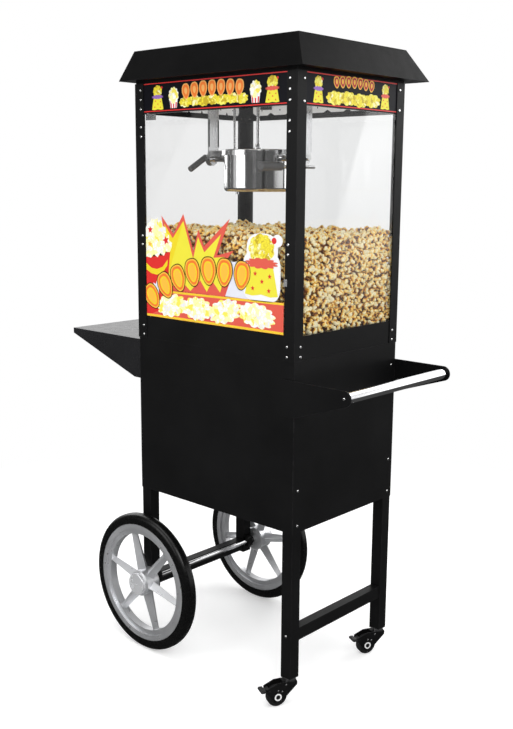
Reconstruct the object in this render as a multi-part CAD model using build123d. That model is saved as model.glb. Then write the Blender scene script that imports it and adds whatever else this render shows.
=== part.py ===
"""Popcorn machine with a tipping kettle, standing on a two-wheeled cart.

Millimetres. X runs along the front towards the push handle, Y runs backwards and Z up.
The layout is drawn about the middle of the glazed cabinet, and place() then moves every
piece so that the origin is on the floor, in the middle of the whole footprint.
"""
from build123d import *
import os
from math import asin, atan2, cos, hypot, pi, radians, sin

# ---- driving dimensions: levels above the floor
CART_BOTTOM = 429
CART_TOP = 830
BASE_TOP = CART_TOP + 55
SIGN_BOTTOM = 1383
SIGN_TOP = 1453
ROOF_EDGE = 1459.4
ROOF_TOP = 1530
CEILING = 1447

# ---- driving dimensions: plan
WIDTH = 520
DEPTH = 396
CART_DEPTH = 390
SHELF_TIP = 538
HANDLE_X = 400
HANDLE_Z = 769
ROOF_SIDE = 32
ROOF_FRONT = 24
ROOF_BACK = 56

# ---- sheet, tube and glass
SHEET = 1.5
THIN = 1.2
POST = 30
POST_WALL = 2
TUBE = 30
TUBE_WALL = 1.5
GLASS = 4
RUNNING = 0.05

# ---- big wheels
WHEEL_RADIUS = 183
RIM_RADIUS = 157
WHEEL_PLANE = 221
TYRE_WIDTH = 32
AXLE_RADIUS = 6
HUB_RADIUS = 34
HUB_IN = 199.5
HUB_OUT = 245
CAP_RADIUS = 29
CAP_OUT = 254
SPOKES = 6

# ---- casters
LEG_END = 68
LEFT_LEG_END = 150
CASTER_RADIUS = 25
CASTER_WIDTH = 19
CASTER_TRAIL = 34
CASTER_TURN = 244
FORK_TOP = 59.8
FORK_UNDER = 53
BRAKE_REACH = 56
BRAKE_Z = 44

# ---- kettle
KETTLE_Y = -36
POT_RADIUS = 82
POT_BOTTOM = 1198
POT_RIM = 1283
FLANGE_RADIUS = 88
FLANGE_TOP = POT_RIM + 3
LID_TOP = 1297
TILT_Z = 1276
TRUNNION_RADIUS = 6
HANGER_X = 150
HANGER_WIDTH = 36
SHAFT_RADIUS = 4
SHAFT_LOW = 1303
SHAFT_HIGH = 1433
QUILL_LOW = 1405

# ---- worked out from the dimensions above
HALF_W = WIDTH / 2
HALF_D = DEPTH / 2
CART_Y = CART_DEPTH / 2
SKIN_X = HALF_W - POST_WALL
SKIN_Y = HALF_D - POST_WALL
LEG_X = HALF_W - THIN - 0.1 - TUBE / 2
LEG_Y = CART_Y - THIN - 0.1 - TUBE / 2
AXLE_X = -(LEG_X - TUBE / 2 - AXLE_RADIUS - 0.2)
OPEN_X = HALF_W - POST
SCREW_IN = 21
HANDLE_ARM_RADIUS = 18
FRAME_X = (SHELF_TIP - HANDLE_X - HANDLE_ARM_RADIUS) / 2
HINGE_X = -221
HINGE_Y = -189.5


# ---- helpers

def block(x, y, z):
    """Box between two limits on each axis."""
    limits = (x, y, z)
    size = [high - low for low, high in limits]
    middle = [(high + low) / 2 for low, high in limits]
    return Pos(*middle) * Box(*size)


def bar_x(x, y, z, radius):
    """Round bar along X between two limits."""
    return Pos((x[0] + x[1]) / 2, y, z) * Rot(0, 90, 0) * Cylinder(radius, x[1] - x[0])


def bar_y(x, y, z, radius):
    """Round bar along Y between two limits."""
    return Pos(x, (y[0] + y[1]) / 2, z) * Rot(90, 0, 0) * Cylinder(radius, y[1] - y[0])


def bar_z(x, y, z, radius):
    """Round bar along Z between two limits."""
    return Pos(x, y, (z[0] + z[1]) / 2) * Cylinder(radius, z[1] - z[0])


def mirrored(part, plane):
    """The part and its mirror image, as two separate solids."""
    return Compound([*part.solids(), *part.mirror(plane).solids()])


def gathered(pieces):
    """Several pieces kept as separate solids of one sub-part."""
    return Compound([solid for piece in pieces for solid in piece.solids()])


def prism_xz(points, y):
    """Flat plate whose outline is given in X and Z, between two Y limits."""
    outline = Plane.XZ * make_face(Polyline(*points, close=True))
    return Pos(0, y[1], 0) * extrude(outline, y[1] - y[0])


def place(part):
    """The piece's solids, moved from the cabinet's middle to the footprint's middle."""
    return Compound([Pos(FRAME_X, 0, 0) * solid for solid in part.solids()])


# ---- screws

SCREW_HEAD = 3.4
SCREW_SHANK = 2
HOLE_RADIUS = 2.1
SHANK_LENGTH = 5
FRONT_LEVELS = (838.5, 861.5, 1065.5, 1087, 1327, 1349.5, 1392, 1414.5, 1437)
PLAIN_LEVELS = (838.5, 861.5, 1390, 1437)
PANEL_LEVELS = (445, 529, 774)


def screw(x, y, z, facing):
    """Domed screw whose head sits on a face and looks along facing: +X, -X, +Y or -Y."""
    head = fillet(Cylinder(SCREW_HEAD, 2).edges().group_by(Axis.Z)[-1], 1.6)
    head = Pos(0, 0, 1) * head
    shank = Pos(0, 0, -SHANK_LENGTH / 2) * Cylinder(SCREW_SHANK, SHANK_LENGTH)
    turns = {"+X": (0, 90, 0), "-X": (0, -90, 0), "+Y": (-90, 0, 0), "-Y": (90, 0, 0)}
    return Pos(x, y, z) * Rot(*turns[facing]) * (head + shank)


def machine_screw_places():
    """Every screw that holds the corner posts: x, y, z and the way it faces."""
    places = []
    side_x = HALF_W - SCREW_IN
    side_y = HALF_D - SCREW_IN
    for sign in (-1, 1):
        for z in FRONT_LEVELS:
            places.append((sign * side_x, -HALF_D, z, "-Y"))
        for z in PLAIN_LEVELS:
            places.append((sign * side_x, HALF_D, z, "+Y"))
            for y in (-side_y, side_y):
                places.append((sign * HALF_W, y, z, "+X" if sign > 0 else "-X"))
    return places


def cart_screw_places():
    """Every screw of the cart: side panels, crossbars and handle tube."""
    places = []
    for sign in (-1, 1):
        for y in (-LEG_Y, LEG_Y):
            for z in PANEL_LEVELS:
                places.append((sign * HALF_W, y, z, "+X" if sign > 0 else "-X"))
        for x in (-LEG_X, LEG_X):
            facing = "+Y" if sign > 0 else "-Y"
            places.append((x, sign * (LEG_Y + TUBE / 2), CROSSBAR_Z, facing))
        facing = "+Y" if sign > 0 else "-Y"
        places.append((HANDLE_X, sign * (CART_Y + ARM_WALL), HANDLE_Z, facing))
    return places


def holes(places):
    """Clearance holes for a list of screws."""
    cutters = []
    for x, y, z, facing in places:
        sign = 1 if facing[0] == "+" else -1
        inward = -sign * (SHANK_LENGTH + 1)
        if facing[1] == "X":
            cutters.append(bar_x(sorted((x + inward, x + sign)), y, z, HOLE_RADIUS))
        else:
            cutters.append(bar_y(x, sorted((y + inward, y + sign)), z, HOLE_RADIUS))
    return cutters


def machine_screws():
    return gathered(screw(*spot) for spot in machine_screw_places())


def cart_screws():
    return gathered(screw(*spot) for spot in cart_screw_places())


# ---- cart frame

CROSSBAR_Z = 172.5
CROSSBAR = (25, 31)
ARM_WALL = 3


def cart_leg(x, y, end):
    """Square tube standing from end up to the underside of the deck."""
    height = CART_TOP - 3 - end
    tube = Box(TUBE, TUBE, height) - Box(TUBE - 2 * TUBE_WALL, TUBE - 2 * TUBE_WALL, height)
    return Pos(x, y, end + height / 2) * tube


def cart_legs():
    legs = []
    for x, end in ((-LEG_X, LEFT_LEG_END), (LEG_X, LEG_END)):
        for y in (-LEG_Y, LEG_Y):
            legs.append(cart_leg(x, y, end) - holes(cart_screw_places()))
    return gathered(legs)


def crossbar(x):
    """Rectangular tube between the two legs at one end of the cart."""
    length = 2 * (LEG_Y - TUBE / 2)
    width, height = CROSSBAR
    tube = Box(width, length, height)
    tube -= Box(width - 2 * TUBE_WALL, length, height - 2 * TUBE_WALL)
    return Pos(x, 0, CROSSBAR_Z) * tube


def axle_bracket(y):
    """Block welded to a left leg's inner face, which holds the wheel axle."""
    face = -(LEG_X - TUBE / 2)
    bracket = block((face, face + 16), (y - 9, y + 9), (WHEEL_RADIUS - 15, WHEEL_RADIUS + 15))
    bracket = fillet(bracket.edges().filter_by(Axis.Y).group_by(Axis.X)[-1], 6)
    return bracket - bar_y(AXLE_X, (y - 20, y + 20), WHEEL_RADIUS, AXLE_RADIUS)


def cart_crossbars():
    pieces = [crossbar(-LEG_X), crossbar(LEG_X), axle_bracket(-LEG_Y), axle_bracket(LEG_Y)]
    return gathered(pieces)


def wheel_axle():
    """Axle rod, a spacer against each leg and a push nut under each hub cap."""
    pieces = [bar_y(AXLE_X, (-HUB_OUT - 3, HUB_OUT + 3), WHEEL_RADIUS, AXLE_RADIUS)]
    for sign in (-1, 1):
        for low, high, radius in ((LEG_Y + 15.2, HUB_IN - 0.3, 10), (HUB_OUT + 0.3, HUB_OUT + 2.5, 11)):
            limits = sorted((sign * low, sign * high))
            ring = bar_y(AXLE_X, limits, WHEEL_RADIUS, radius)
            pieces.append(ring - bar_y(AXLE_X, limits, WHEEL_RADIUS, AXLE_RADIUS))
    return gathered(pieces)


# ---- cart body

def cart_front_panel():
    reach = HALF_W - THIN - 0.1
    return block((-reach, reach), (-CART_Y, -CART_Y + THIN), (CART_BOTTOM, CART_TOP))


def cart_side_panels():
    panel = block((HALF_W - THIN, HALF_W), (-CART_Y, CART_Y), (CART_BOTTOM, CART_TOP))
    pair = mirrored(panel, Plane.YZ)
    tools = holes(cart_screw_places())
    return gathered(side - tools for side in pair.solids())


def leg_notches(z):
    """Square clearances for the four legs."""
    size = TUBE + 0.4
    spots = [(x, y) for x in (-LEG_X, LEG_X) for y in (-LEG_Y, LEG_Y)]
    middle = (z[0] + z[1]) / 2
    return [Pos(x, y, middle) * Box(size, size, z[1] - z[0] + 2) for x, y in spots]


DOOR_SWING_X = -216
DOOR_SWING_Y = 187
DOOR_PIN = 3
CART_DOOR = ((-224, 224.5), (CART_Y - 15, CART_Y), (434, 825))


def cart_floor():
    inside = HALF_W - THIN - 0.1
    floor = block((-inside, inside), (-CART_Y + THIN, CART_Y - 1.3), (CART_BOTTOM + 1, CART_BOTTOM + 3))
    floor -= leg_notches((CART_BOTTOM + 1, CART_BOTTOM + 3))
    return floor - bar_z(DOOR_SWING_X, DOOR_SWING_Y, (CART_BOTTOM, CART_BOTTOM + 5), DOOR_PIN)


def cart_deck():
    inside = HALF_W - THIN - 0.1
    deck = block((-inside, inside), (-CART_Y + THIN, CART_Y), (CART_TOP - 3, CART_TOP))
    return deck - bar_z(DOOR_SWING_X, DOOR_SWING_Y, (CART_TOP - 4, CART_TOP + 1), DOOR_PIN)


def cart_door_pins():
    low = bar_z(DOOR_SWING_X, DOOR_SWING_Y, (CART_BOTTOM + 1, 442), DOOR_PIN)
    high = bar_z(DOOR_SWING_X, DOOR_SWING_Y, (817, CART_TOP), DOOR_PIN)
    return gathered([low, high])


def cart_door():
    """Folded tray that closes the back of the cart and turns on two pins."""
    x, y, z = CART_DOOR
    door = block(x, y, z)
    door -= block((x[0] + THIN, x[1] - THIN), (y[0] - 1, y[1] - THIN), (z[0] + THIN, z[1] - THIN))
    return door - bar_z(DOOR_SWING_X, DOOR_SWING_Y, (z[0] - 2, z[1] + 2), DOOR_PIN + RUNNING)


def cart_door_knob():
    stem = bar_y(196, (CART_Y, CART_Y + 14), 640, 6)
    head = bar_y(196, (CART_Y + 12, CART_Y + 22), 640, 13)
    head = fillet(head.edges(), 3)
    return stem + head


SHELF_TOP = 823
SHELF_LOW = 721
SHELF_LIP = 14
SHELF_HALF = 194


def side_shelf():
    """Folded tray shelf with a triangular gusset at the front and at the back."""
    root = -HALF_W
    tip = -SHELF_TIP
    outline = [(root, SHELF_TOP), (tip, SHELF_TOP), (tip, SHELF_TOP - SHELF_LIP),
               (root - 24, SHELF_LOW), (root, SHELF_LOW)]
    shelf = prism_xz(outline, (-SHELF_HALF, SHELF_HALF))
    hollow = [(root - SHEET, SHELF_TOP - SHEET), (tip + SHEET, SHELF_TOP - SHEET),
              (tip + SHEET, SHELF_TOP - SHELF_LIP - 20), (tip + SHEET, SHELF_LOW - 9),
              (root - SHEET, SHELF_LOW - 9)]
    inner = SHELF_HALF - SHEET
    shelf -= prism_xz(hollow, (-inner, inner))
    for y in (-LEG_Y, LEG_Y):
        shelf -= bar_x((root - SHEET - 1, root + 1), y, PANEL_LEVELS[-1], SCREW_HEAD + 0.2)
    return shelf


def handle_arms():
    """Two flat arms that carry the push handle, straight on top and tapered below."""
    corner = (262, 704)
    run = (HANDLE_X - corner[0], HANDLE_Z - corner[1])
    slope = atan2(run[1], run[0]) - asin(HANDLE_ARM_RADIUS / hypot(*run))
    touch = (HANDLE_X + HANDLE_ARM_RADIUS * sin(slope), HANDLE_Z - HANDLE_ARM_RADIUS * cos(slope))
    top = HANDLE_Z + HANDLE_ARM_RADIUS
    root = LEG_X - TUBE / 2
    outline = [(root, corner[1]), corner, touch, (HANDLE_X, HANDLE_Z), (HANDLE_X, top), (root, top)]
    arm = prism_xz(outline, (CART_Y, CART_Y + ARM_WALL))
    arm += bar_y(HANDLE_X, (CART_Y, CART_Y + ARM_WALL), HANDLE_Z, HANDLE_ARM_RADIUS)
    arm -= bar_y(HANDLE_X, (CART_Y - 1, CART_Y + ARM_WALL + 1), HANDLE_Z, HOLE_RADIUS)
    return mirrored(arm, Plane.XZ)


def push_handle():
    """Tube between the arms, with a drilled wall at each end for its screw."""
    tube = bar_y(HANDLE_X, (-CART_Y, CART_Y), HANDLE_Z, 12.5)
    tube -= bar_y(HANDLE_X, (-CART_Y + 4, CART_Y - 4), HANDLE_Z, 11)
    return tube - bar_y(HANDLE_X, (-CART_Y - 1, CART_Y + 1), HANDLE_Z, HOLE_RADIUS)


# ---- big wheels, drawn about the axle's middle with the outside towards -Y

def ring_y(inner, outer, y):
    """Plain ring about the Y axis."""
    return bar_y(0, y, 0, outer) - bar_y(0, (y[0] - 1, y[1] + 1), 0, inner)


def spoke():
    """Ridged spoke along X, deep at the hub and slimmer at the rim."""
    sections = []
    for along, half_width, half_depth in ((26, 14, 17), (138, 9, 9)):
        points = [(-half_width, 0), (0, half_depth), (half_width, 0), (0, -half_depth)]
        sections.append(Plane.YZ.offset(along) * make_face(Polyline(*points, close=True)))
    return Rot(90, 0, 0) * loft(sections)


def big_wheel():
    """Cast wheel: stepped rim, six ridged spokes and a long hub."""
    wheel = ring_y(143, RIM_RADIUS, (-15, 15)) + ring_y(130, 144, (-10, 10))
    for step in range(SPOKES):
        wheel += Rot(0, 360 / SPOKES * step + 12, 0) * spoke()
    hub = bar_y(0, (WHEEL_PLANE - HUB_OUT, WHEEL_PLANE - HUB_IN), 0, HUB_RADIUS)
    hub = chamfer(hub.edges(), 3)
    wheel += hub
    return wheel - bar_y(0, (-40, 40), 0, AXLE_RADIUS + RUNNING)


def big_tyre():
    """Solid tyre with a rounded tread."""
    half = TYRE_WIDTH / 2
    section = Pos((RIM_RADIUS + WHEEL_RADIUS) / 2, 0) * Rectangle(WHEEL_RADIUS - RIM_RADIUS, TYRE_WIDTH)
    section = fillet(section.vertices().group_by(Axis.X)[-1], half - 4)
    return Rot(90, 0, 0) * revolve(Plane.XZ * section, Axis.Z)


def hub_cap():
    """Shallow round cup that hides the axle end."""
    outer = WHEEL_PLANE - CAP_OUT
    inner = WHEEL_PLANE - HUB_OUT
    cap = bar_y(0, (outer, inner), 0, CAP_RADIUS)
    cap = fillet(cap.edges().group_by(Axis.Y)[0], 2.5)
    return cap - bar_y(0, (outer + 3, inner + 1), 0, CAP_RADIUS - 4)


def on_axle(part, sign):
    """Put a wheel piece on the front axle end, or turned round on the rear one."""
    turn = 0 if sign < 0 else 180
    return Pos(AXLE_X, sign * WHEEL_PLANE, WHEEL_RADIUS) * Rot(0, 0, turn) * part


# ---- casters, drawn about the king pin with the wheel trailing along +X

def caster_stems():
    """For each caster: square plug in the leg, cover plate, king pin and its head."""
    pieces = []
    inside = TUBE - 2 * TUBE_WALL - 0.2
    for y in (-LEG_Y, LEG_Y):
        stem = Pos(LEG_X, y, LEG_END + 14) * Box(inside, inside, 28)
        stem += Pos(LEG_X, y, LEG_END - 1) * Box(TUBE, TUBE, 2)
        stem += bar_z(LEG_X, y, (60, LEG_END - 1), 13)
        stem += bar_z(LEG_X, y, (49.5, LEG_END), 5)
        stem += bar_z(LEG_X, y, (49.5, 52.7), 8)
        pieces.append(stem)
    return gathered(pieces)


def fork_plate():
    """Rounded cheek plate of a caster fork."""
    points = [(-15, 58), (-15, 50), (22, 15), (44, 15), (62, 38), (62, 49), (36, FORK_TOP), (-8, FORK_TOP)]
    plate = prism_xz(points, (CASTER_WIDTH / 2 + 1, CASTER_WIDTH / 2 + 3.2))
    return fillet(plate.edges().filter_by(Axis.Y), 2)


def caster_fork():
    """Fork with its top plate, the wheel's rivet and the brake's pivot pin."""
    half = CASTER_WIDTH / 2 + 3.2
    plates = fork_plate()
    fork = plates + plates.mirror(Plane.XZ)
    fork += block((-14, 20), (-half, half), (FORK_UNDER, FORK_TOP))
    fork += bar_z(0, 0, (FORK_UNDER, FORK_TOP), 16)
    fork -= bar_z(0, 0, (FORK_UNDER - 1, FORK_TOP + 1), 5 + RUNNING)
    fork -= bar_y(CASTER_TRAIL, (-half - 1, half + 1), CASTER_RADIUS, 4)
    fork -= bar_y(BRAKE_REACH, (-half - 1, half + 1), BRAKE_Z, 2)
    rivet = bar_y(CASTER_TRAIL, (-half - 1.5, half + 1.5), CASTER_RADIUS, 4)
    pivot = bar_y(BRAKE_REACH, (-half - 1, half + 1), BRAKE_Z, 2)
    return gathered([fork, rivet, pivot])


def caster_wheel():
    """Small wheel with a raised hub on both sides."""
    half = CASTER_WIDTH / 2
    wheel = bar_y(0, (-half, half), 0, CASTER_RADIUS)
    wheel = fillet(wheel.edges(), 4)
    for y in ((-half - 1, -half + 2), (half - 2, half + 1)):
        wheel -= ring_y(11, 18, y)
    wheel -= bar_y(0, (-half - 1, half + 1), 0, 4 + RUNNING)
    return Pos(CASTER_TRAIL, 0, CASTER_RADIUS) * wheel


def caster_brake():
    """Foot lever: an eye on the pivot, a neck and a flared tread."""
    half = CASTER_WIDTH / 2 + 0.5
    lever = bar_y(BRAKE_REACH, (-half, half), BRAKE_Z, 3.5)
    lever += block((BRAKE_REACH, BRAKE_REACH + 14), (-6, 6), (BRAKE_Z - 2.5, BRAKE_Z + 2.5))
    tread = block((BRAKE_REACH + 9, BRAKE_REACH + 21), (-14, 14), (BRAKE_Z - 3.5, BRAKE_Z + 4))
    lever += fillet(tread.edges(), 3)
    return lever - bar_y(BRAKE_REACH, (-half - 1, half + 1), BRAKE_Z, 2 + RUNNING)


def on_caster(part, sign):
    """Turn a caster piece to its trailing direction under the front or rear leg."""
    return Pos(LEG_X, sign * LEG_Y, 0) * Rot(0, 0, CASTER_TURN) * part


# ---- glazed cabinet

def corner_posts():
    """Four steel angles, each screwed round a corner of the cabinet."""
    tools = holes(machine_screw_places())
    posts = []
    for sx in (-1, 1):
        for sy in (-1, 1):
            outer = block(sorted((sx * HALF_W, sx * OPEN_X)), sorted((sy * HALF_D, sy * (HALF_D - POST))),
                          (CART_TOP, SIGN_TOP))
            inner = block(sorted((sx * SKIN_X, sx * (OPEN_X - 1))),
                          sorted((sy * SKIN_Y, sy * (HALF_D - POST - 1))), (CART_TOP - 1, SIGN_TOP + 1))
            posts.append(outer - inner - tools)
    return gathered(posts)


DRAWER_X = 148
DRAWER_Z = (837, 875)
LEDGE = 14


def base_frame():
    """Sheet plinth with an inward ledge on top, a drawer mouth behind and two runners."""
    frame = block((-SKIN_X, SKIN_X), (-SKIN_Y, SKIN_Y), (CART_TOP, BASE_TOP))
    frame -= block((-SKIN_X + SHEET, SKIN_X - SHEET), (-SKIN_Y + SHEET, SKIN_Y - SHEET),
                   (CART_TOP + SHEET, BASE_TOP - SHEET))
    frame -= block((-SKIN_X + LEDGE, SKIN_X - LEDGE), (-SKIN_Y + LEDGE, SKIN_Y - LEDGE),
                   (BASE_TOP - 5, BASE_TOP + 1))
    frame -= block((-DRAWER_X - 2, DRAWER_X + 2), (SKIN_Y - 5, SKIN_Y + 1),
                   (DRAWER_Z[0] - 1, DRAWER_Z[1] + 1))
    for x in (-120, 120):
        frame += block((x - 6, x + 6), (-150, SKIN_Y - SHEET), (CART_TOP + SHEET, DRAWER_Z[0] - 0.3))
    frame -= bar_z(HINGE_X, HINGE_Y, (BASE_TOP - 5, BASE_TOP + 1), 2.5 + RUNNING)
    return frame - holes(machine_screw_places())


def floor_pan():
    """Stainless floor under the popcorn, with holes that let loose kernels drop."""
    x = SKIN_X - SHEET - 0.2
    y = SKIN_Y - SHEET - 0.2
    top = BASE_TOP - SHEET - 0.1
    pan = block((-x, x), (-y, y), (top - SHEET, top))
    pan -= block((HINGE_X - 6, HINGE_X + 6), (-y - 1, HINGE_Y + 6), (top - 5, top + 1))
    sieve = [bar_z(26 * col, 30 * row, (top - 5, top + 1), 4.5)
             for col in range(-4, 5) for row in range(-3, 4)]
    return pan - sieve - holes(machine_screw_places())


def kernel_drawer():
    """Tray for unpopped kernels, with a front plate and a folded lip to pull."""
    back = SKIN_Y + 0.2
    tray = block((-DRAWER_X, DRAWER_X), (-150, back), DRAWER_Z)
    tray -= block((-DRAWER_X + THIN, DRAWER_X - THIN), (-150 + THIN, back - THIN),
                  (DRAWER_Z[0] + THIN, DRAWER_Z[1] + 1))
    plate = block((-DRAWER_X - 8, DRAWER_X + 8), (back, back + SHEET), (DRAWER_Z[0] - 4, DRAWER_Z[1] + 5))
    lip = block((-40, 40), (back, back + 14), (DRAWER_Z[1] + 3.5, DRAWER_Z[1] + 5))
    return tray + plate + lip


PANE_Z = (BASE_TOP + 1, SIGN_BOTTOM - 1)


def side_panes():
    pane = block((SKIN_X - 0.2 - GLASS, SKIN_X - 0.2), (-SKIN_Y + 3, SKIN_Y - 0.5), PANE_Z)
    pane -= holes(machine_screw_places())
    return mirrored(pane, Plane.YZ)


def rear_pane():
    x = SKIN_X - GLASS - 0.7
    return block((-x, x), (SKIN_Y - 0.2 - GLASS, SKIN_Y - 0.2), PANE_Z)


DOOR_X = 228
DOOR_FACE = -SKIN_Y - 0.5
DOOR_Z = (BASE_TOP + 2, SIGN_BOTTOM - 2)


def front_door():
    """Toughened glass door between the two front posts."""
    door = block((-DOOR_X, DOOR_X), (DOOR_FACE, DOOR_FACE + GLASS), DOOR_Z)
    return fillet(door.edges().filter_by(Axis.Y), 3)


def door_pivots():
    """Two shoes bonded inside the glass, each with a pin into the frame."""
    shoes = []
    for z, pin in (((DOOR_Z[0], DOOR_Z[0] + 14), (BASE_TOP - SHEET, DOOR_Z[0] + 5)),
                   ((DOOR_Z[1] - 14, DOOR_Z[1]), (DOOR_Z[1] - 5, SIGN_BOTTOM + SHEET))):
        shoe = block((HINGE_X - 6, HINGE_X + 22), (DOOR_FACE + GLASS, HINGE_Y + 4), z)
        shoes.append(shoe + bar_z(HINGE_X, HINGE_Y, pin, 2.5))
    return gathered(shoes)


def door_catch():
    """Small bright catch that wraps the inner edge of the right front post."""
    z = (996, 1012)
    catch = block((DOOR_X + 0.6, 238), (-HALF_D - SHEET, -HALF_D), z)
    catch += block((DOOR_X + 0.6, OPEN_X - 0.1), (-HALF_D, DOOR_FACE + GLASS + 3), z)
    return catch


# ---- header and roof

def sign_sheet():
    """Header sheet along X, seen from its outside at -Y, with a folded lower ledge."""
    sheet = block((-SKIN_X, SKIN_X), (-SKIN_Y, -SKIN_Y + SHEET), (SIGN_BOTTOM, SIGN_TOP))
    reach = SKIN_X - SHEET - 0.1
    return sheet + block((-reach, reach), (-SKIN_Y, -SKIN_Y + LEDGE), (SIGN_BOTTOM, SIGN_BOTTOM + SHEET))


def front_sign():
    sign = sign_sheet()
    sign -= bar_z(HINGE_X, HINGE_Y, (SIGN_BOTTOM - 1, SIGN_BOTTOM + 3), 2.5 + RUNNING)
    return sign - holes(machine_screw_places())


def side_signs():
    sheet = block((SKIN_X - SHEET, SKIN_X), (-SKIN_Y + SHEET, SKIN_Y - SHEET), (SIGN_BOTTOM, SIGN_TOP))
    sheet += block((SKIN_X - LEDGE, SKIN_X), (-SKIN_Y + LEDGE, SKIN_Y - LEDGE),
                   (SIGN_BOTTOM, SIGN_BOTTOM + SHEET))
    sheet -= holes(machine_screw_places())
    return mirrored(sheet, Plane.YZ)


SWITCH_X = {"heat_switch": 180, "motor_switch": 145, "light_switch": 110}
SWITCH_Z = 1420
ROCKER = (13, 22, 9)
ROCKER_TILT = 7
SWITCH_CUT = (14, 25)
INLET_X = -170


def control_panel():
    """Rear header sheet with raised switch bezels and the mains inlet's opening."""
    panel = sign_sheet().mirror(Plane.XZ)
    width, height = SWITCH_CUT
    for x in SWITCH_X.values():
        panel += block((x - width / 2 - 2.5, x + width / 2 + 2.5), (SKIN_Y - 8, SKIN_Y + 2),
                       (SWITCH_Z - height / 2 - 2.5, SWITCH_Z + height / 2 + 2.5))
        panel -= block((x - width / 2, x + width / 2), (SKIN_Y - 9, SKIN_Y + 3),
                       (SWITCH_Z - height / 2, SWITCH_Z + height / 2))
        panel += bar_x((x - width / 2 - 1, x + width / 2 + 1), SKIN_Y - 1, SWITCH_Z, 1.2)
    panel -= block((INLET_X - 14, INLET_X + 14), (SKIN_Y - 5, SKIN_Y + 1), (SWITCH_Z - 10, SWITCH_Z + 10))
    return panel - holes(machine_screw_places())


def rocker(x):
    """Rocker of a mains switch, resting in its off position."""
    width, height, depth = ROCKER
    key = Box(width, depth, height)
    key = fillet(key.edges().filter_by(Axis.X), 2)
    key -= bar_x((-width, width), 0, 0, 1.2 + RUNNING)
    return Pos(x, SKIN_Y - 1, SWITCH_Z) * Rot(-ROCKER_TILT, 0, 0) * key


def power_inlet():
    """Appliance inlet: flanged moulding with a deep socket and three blades."""
    body = block((INLET_X - 13.8, INLET_X + 13.8), (SKIN_Y - 22, SKIN_Y), (SWITCH_Z - 9.8, SWITCH_Z + 9.8))
    body += block((INLET_X - 17, INLET_X + 17), (SKIN_Y, SKIN_Y + 2.5), (SWITCH_Z - 13, SWITCH_Z + 13))
    body -= block((INLET_X - 12, INLET_X + 12), (SKIN_Y - 17, SKIN_Y + 3), (SWITCH_Z - 8, SWITCH_Z + 8))
    for x, z in ((-7, -2), (0, 2.5), (7, -2)):
        body += block((INLET_X + x - 1, INLET_X + x + 1), (SKIN_Y - 18, SKIN_Y - 8),
                      (SWITCH_Z + z - 2, SWITCH_Z + z + 2))
    return body


LAMP = (-15, 130)


def ceiling_panel():
    """Ceiling of the popping chamber, with openings for the drive and the lamp."""
    x = SKIN_X - SHEET - 0.2
    y = SKIN_Y - SHEET - 0.2
    panel = block((-x, x), (-y, y), (CEILING, CEILING + SHEET))
    panel -= bar_z(0, KETTLE_Y, (CEILING - 1, CEILING + 3), 12)
    panel -= bar_z(LAMP[0], LAMP[1], (CEILING - 1, CEILING + 3), 6)
    return panel - holes(machine_screw_places())


def roof():
    """Hollow hipped roof with a flat top, a closed eave and a rim on the header."""
    def shell(shrink):
        low_x = HALF_W + ROOF_SIDE - shrink
        low_y = (-HALF_D - ROOF_FRONT + shrink, HALF_D + ROOF_BACK - shrink)
        base = Pos(0, sum(low_y) / 2, ROOF_EDGE + shrink) * Rectangle(2 * low_x, low_y[1] - low_y[0])
        top = Pos(0, 0, ROOF_TOP - shrink) * Rectangle(WIDTH - 2 * shrink, DEPTH - 2 * shrink)
        return loft([base, top])
    opening_x = SKIN_X - LEDGE
    opening_y = SKIN_Y - LEDGE
    rim = block((-SKIN_X, SKIN_X), (-SKIN_Y, SKIN_Y), (SIGN_TOP, ROOF_EDGE + SHEET))
    body = shell(0) - shell(SHEET) + rim
    return body - block((-opening_x, opening_x), (-opening_y, opening_y), (SIGN_TOP - 1, ROOF_EDGE + 4))


# ---- drive

def gear_motor():
    """Right-angle gearbox on the ceiling with its motor lying beside it."""
    floor = CEILING + SHEET
    box = block((-26, 26), (KETTLE_Y - 26, KETTLE_Y + 26), (floor, floor + 34))
    box = fillet(box.edges().filter_by(Axis.Z), 6)
    motor = bar_x((26, 112), KETTLE_Y, floor + 30, 27)
    motor = fillet(motor.edges(), 3)
    body = box + motor + bar_x((20, 30), KETTLE_Y, floor + 17, 16)
    return body - bar_z(0, KETTLE_Y, (floor - 1, floor + 60), 9 + RUNNING)


def drive_quill():
    """Hollow spindle that the gearbox turns; the shaft slides inside it."""
    top = CEILING + SHEET + 34.2
    quill = bar_z(0, KETTLE_Y, (QUILL_LOW, top + 4), 9)
    quill += bar_z(0, KETTLE_Y, (top, top + 4), 14)
    return quill - bar_z(0, KETTLE_Y, (QUILL_LOW - 1, top + 5), SHAFT_RADIUS + RUNNING)


def drive_shaft():
    """Shaft from the quill down to a slotted dog just above the kettle."""
    shaft = bar_z(0, KETTLE_Y, (SHAFT_LOW, SHAFT_HIGH), SHAFT_RADIUS)
    shaft += bar_z(0, KETTLE_Y, (SHAFT_LOW, SHAFT_LOW + 9), 6)
    return shaft - block((-1.8, 1.8), (KETTLE_Y - 8, KETTLE_Y + 8), (SHAFT_LOW - 1, SHAFT_LOW + 6))


# ---- kettle

POT_WALL = 3
SEAM_TURN = 37


def turned_pot(section):
    """Solid of revolution about the kettle's upright axis, with its seam clear of the trunnions."""
    return Pos(0, KETTLE_Y, 0) * Rot(0, 0, SEAM_TURN) * revolve(Plane.XZ * section, Axis.Z)


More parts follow.
